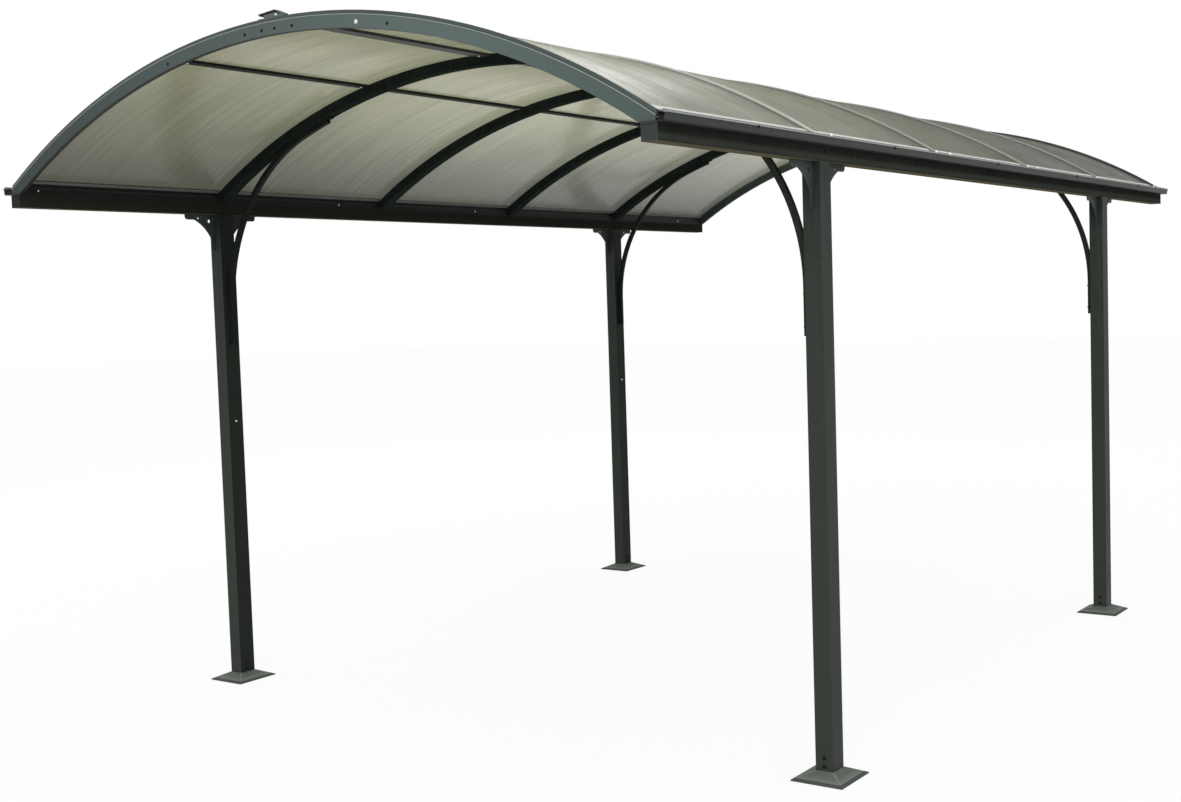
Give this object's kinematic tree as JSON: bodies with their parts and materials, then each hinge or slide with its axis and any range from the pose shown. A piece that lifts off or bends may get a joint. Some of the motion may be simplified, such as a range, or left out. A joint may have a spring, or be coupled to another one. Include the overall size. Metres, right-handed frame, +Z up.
{
  "type": "carport",
  "caption": "Arched kit carport: posts on covered feet, gutter-topped eave beams, curved braces and a barrel roof of clear sheets on ribs.",
  "frame": {"origin": "on the floor under the middle of the carport", "axes": "+Z up, +Y along the length from the front to the rear end, +X across to the right when seen from the front"},
  "size_m": [3.048, 5.016, 2.579],
  "materials": {
    "post_paint": "dark green-grey powder coat, satin",
    "foot_cover_plastic": "grey-green moulded cover, matt",
    "anchor_zinc": "zinc-coated steel, dull",
    "beam_paint": "very dark grey powder coat, satin",
    "gutter_paint": "dark grey powder coat, satin",
    "end_arch_paint": "grey-green powder coat, satin",
    "rib_paint": "dark green-grey powder coat, satin",
    "strip_paint": "grey-green powder coat, satin",
    "roof_sheet": "clear fluted plastic sheet, weathered",
    "purlin_paint": "dark grey powder coat, satin",
    "brace_paint": "dark grey powder coat, satin",
    "gusset_paint": "dark grey powder coat, satin",
    "clip_paint": "grey-green powder coat, satin"
  },
  "bodies": {
    "root": {"post_front_left": "post_paint", "post_front_right": "post_paint", "post_rear_left": "post_paint", "post_rear_right": "post_paint", "foot_cover_front_left": "foot_cover_plastic", "foot_cover_front_right": "foot_cover_plastic", "foot_cover_rear_left": "foot_cover_plastic", "foot_cover_rear_right": "foot_cover_plastic", "anchor_feet": "anchor_zinc", "beam_left": "beam_paint", "beam_right": "beam_paint", "beam_caps": "beam_paint", "gutter_left": "gutter_paint", "gutter_right": "gutter_paint", "front_arch": "end_arch_paint", "rear_arch": "end_arch_paint", "rib_1": "rib_paint", "rib_2": "rib_paint", "rib_3": "rib_paint", "rib_4": "rib_paint", "cover_strip_front": "strip_paint", "cover_strip_1": "strip_paint", "cover_strip_2": "strip_paint", "cover_strip_3": "strip_paint", "cover_strip_4": "strip_paint", "cover_strip_rear": "strip_paint", "roof_sheet_1": "roof_sheet", "roof_sheet_2": "roof_sheet", "roof_sheet_3": "roof_sheet", "roof_sheet_4": "roof_sheet", "roof_sheet_5": "roof_sheet", "purlin_left": "purlin_paint", "purlin_ridge": "purlin_paint", "purlin_right": "purlin_paint", "brace_front_left": "brace_paint", "brace_front_right": "brace_paint", "brace_rear_left": "brace_paint", "brace_rear_right": "brace_paint", "gussets_front_left": "gusset_paint", "gussets_front_right": "gusset_paint", "gussets_rear_left": "gusset_paint", "gussets_rear_right": "gusset_paint", "ridge_clips": "clip_paint"}
  },
  "joints": []
}
